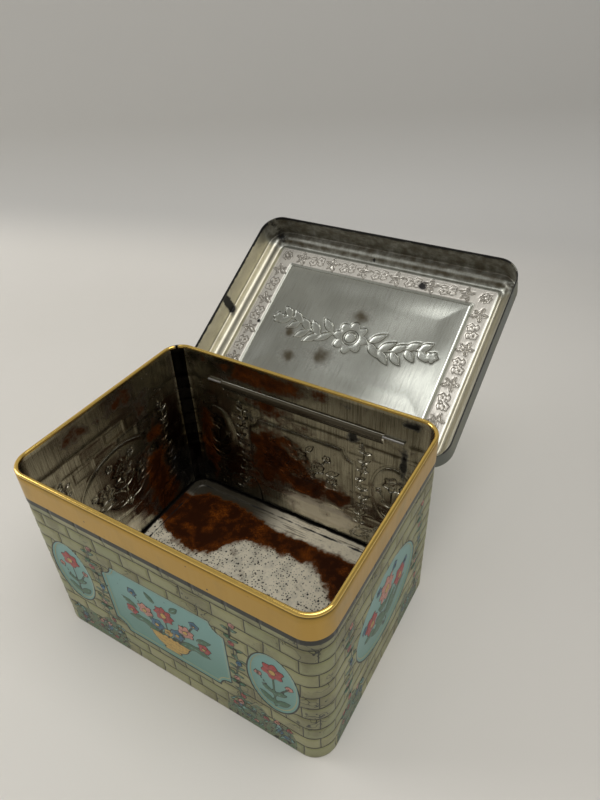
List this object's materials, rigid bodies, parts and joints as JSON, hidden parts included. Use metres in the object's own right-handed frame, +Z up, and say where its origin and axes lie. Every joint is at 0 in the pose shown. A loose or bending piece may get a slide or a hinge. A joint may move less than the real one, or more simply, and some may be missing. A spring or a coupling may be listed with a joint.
{
  "type": "hinged tin box",
  "caption": "Rectangular tinplate storage box with a curled rim, printed stonework walls under a gold band and a shallow embossed lid that swings on a wire hinge.",
  "frame": {"origin": "middle of the box on the surface it stands on", "axes": "+X to the right along the front, +Y to the back, where the hinge is, +Z up"},
  "size_m": [0.1956, 0.2766, 0.1726],
  "materials": {
    "printed_tinplate": "lithographed stone-coloured print under satin varnish, gold band below the rim, bare and rust-stained inside",
    "bare_tinplate": "dull spangled tinplate with rust patches and specks",
    "lid_tinplate": "bright bare tin inside, blue-green print outside, dark worn edge",
    "hinge_steel": "drawn steel wire"
  },
  "bodies": {
    "box": {"body_wall": "printed_tinplate", "bottom_plate": "bare_tinplate"},
    "lid": {"lid": "lid_tinplate", "hinge_wire": "hinge_steel"}
  },
  "joints": [
    {"name": "lid_hinge", "type": "hinge", "parent": "box", "child": "lid", "pos_m": [0, 0.0697, 0.1053], "axis": [1, 0, 0], "range_deg": [0, 150]}
  ]
}
